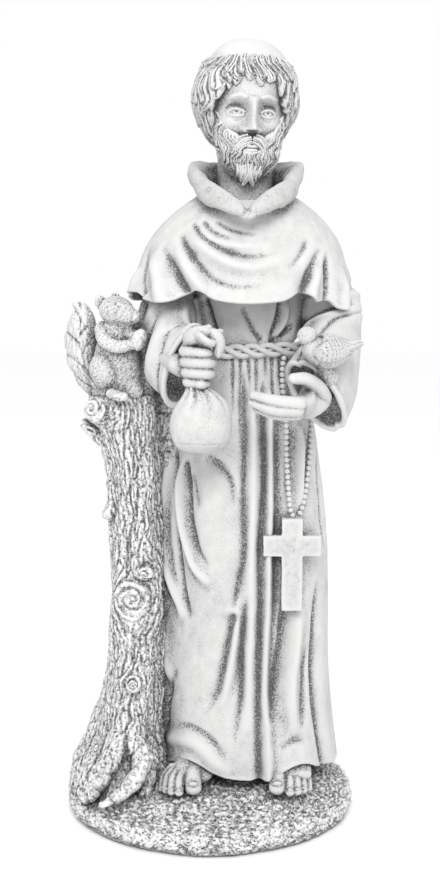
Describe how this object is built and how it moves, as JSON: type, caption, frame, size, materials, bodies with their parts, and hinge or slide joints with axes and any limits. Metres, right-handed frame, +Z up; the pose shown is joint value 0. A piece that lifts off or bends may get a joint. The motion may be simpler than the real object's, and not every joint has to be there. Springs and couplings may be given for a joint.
{
  "type": "saint francis statue",
  "caption": "Cast garden statue of a bearded friar in a hooded robe, with a pouch, a bird, a rosary with cross, and a squirrel on a tree stump, on an oval mound.",
  "frame": {"origin": "middle of the underside of the oval mound, on the ground", "axes": "+Z up, the figure faces -Y, +X to the viewer's right from the front"},
  "size_m": [0.3099, 0.2598, 0.7904],
  "materials": {
    "cast_stone": "matt cast resin stone, off-white with a grey wash in the recesses"
  },
  "bodies": {
    "root": {"saint_francis_statue": "cast_stone"}
  },
  "joints": []
}
